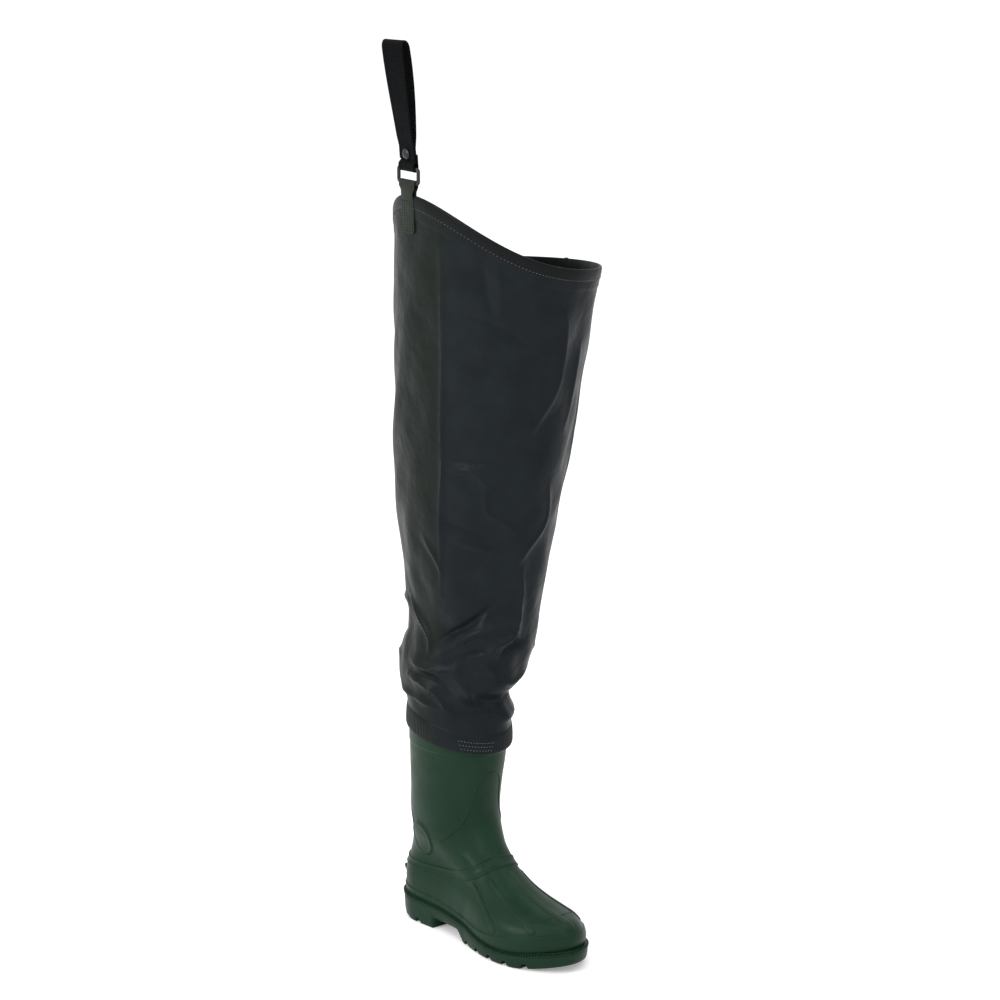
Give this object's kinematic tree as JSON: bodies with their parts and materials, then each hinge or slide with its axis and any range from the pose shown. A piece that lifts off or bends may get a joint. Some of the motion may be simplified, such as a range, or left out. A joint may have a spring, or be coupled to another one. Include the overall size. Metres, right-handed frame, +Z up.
{
  "type": "hip wader",
  "caption": "Hip wader for the right leg: moulded green boot with lugged sole, long dark coated-fabric leg with a slanted collar, and a belt strap on a plastic ring.",
  "frame": {"origin": "on the floor under the middle of the heel, on the heel's tread", "axes": "+X to the toe, +Y to the inner side of the leg, +Z up to the belt strap"},
  "size_m": [0.3044, 0.2264, 1.0718],
  "materials": {
    "moulded_vinyl": "satin moulded green vinyl",
    "sole_vinyl": "satin moulded green vinyl",
    "insole_felt": "matt felt",
    "coated_fabric": "dark vinyl-coated polyester, semi-matt",
    "tab_fabric": "dark olive vinyl-coated polyester",
    "ring_plastic": "black moulded plastic",
    "strap_webbing": "black woven webbing",
    "snap_metal": "black lacquered press stud"
  },
  "bodies": {
    "root": {"boot_upper": "moulded_vinyl", "outsole": "sole_vinyl", "insole": "insole_felt", "fabric_leg": "coated_fabric", "hanger_tab": "tab_fabric", "link_ring": "ring_plastic", "belt_strap": "strap_webbing", "snap_cap": "snap_metal", "snap_post": "snap_metal"}
  },
  "joints": []
}
